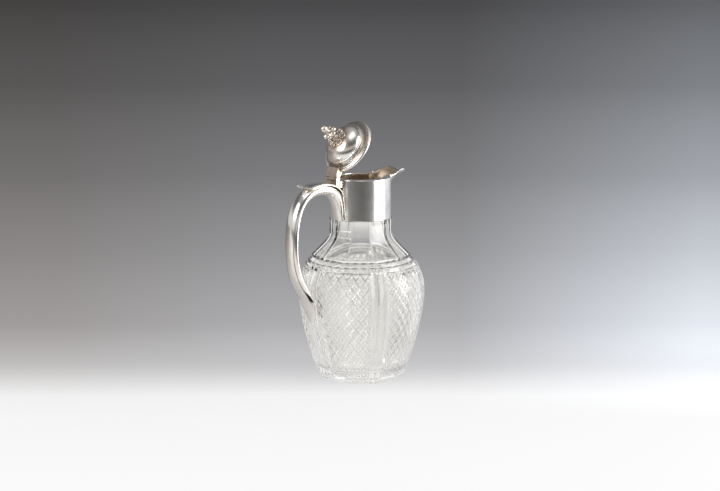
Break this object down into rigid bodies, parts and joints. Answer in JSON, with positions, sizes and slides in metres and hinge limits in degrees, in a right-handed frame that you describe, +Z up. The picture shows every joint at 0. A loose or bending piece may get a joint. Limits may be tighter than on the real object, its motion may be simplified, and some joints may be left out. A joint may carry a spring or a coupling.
{
  "type": "claret jug",
  "caption": "Claret jug: cut-glass body with star foot and fluted neck, plain metal collar with flared spout, hollow scroll handle and hinged domed lid with finial.",
  "frame": {"origin": "the jug's axis where it meets the table, in the plane of the foot", "axes": "+Z up along the jug's axis, +X towards the spout, the handle and the hinge along -X, Y across"},
  "size_m": [0.1433, 0.1179, 0.238],
  "materials": {
    "crystal": "clear lead crystal, wheel cut and polished",
    "silver": "polished silver, slightly warm",
    "silver_inside": "silver, satin where it isn't polished",
    "plaster": "plaster bed between glass and collar"
  },
  "bodies": {
    "jug": {"glass_body": "crystal", "plaster_bed": "plaster", "collar": "silver", "spout": "silver", "mouth_liner": "silver_inside", "handle_shell": "silver", "handle_strip": "silver", "thumb_leaf": "silver", "hinge_seat": "silver", "hinge_pin": "silver_inside"},
    "lid": {"lid_lug": "silver", "lid_dome": "silver", "lid_rim_wire": "silver", "lid_ridge_wire": "silver", "lid_bezel": "silver_inside", "finial_calyx": "silver", "finial_knop": "silver", "finial_ball": "silver", "finial_stud": "silver_inside", "finial_washer": "silver_inside", "finial_nut": "silver_inside"}
  },
  "joints": [
    {"name": "lid_hinge", "type": "hinge", "parent": "jug", "child": "lid", "pos_m": [-0.0328, 0, 0.1878], "axis": [0, -1, 0], "range_deg": [-56, 45]}
  ]
}
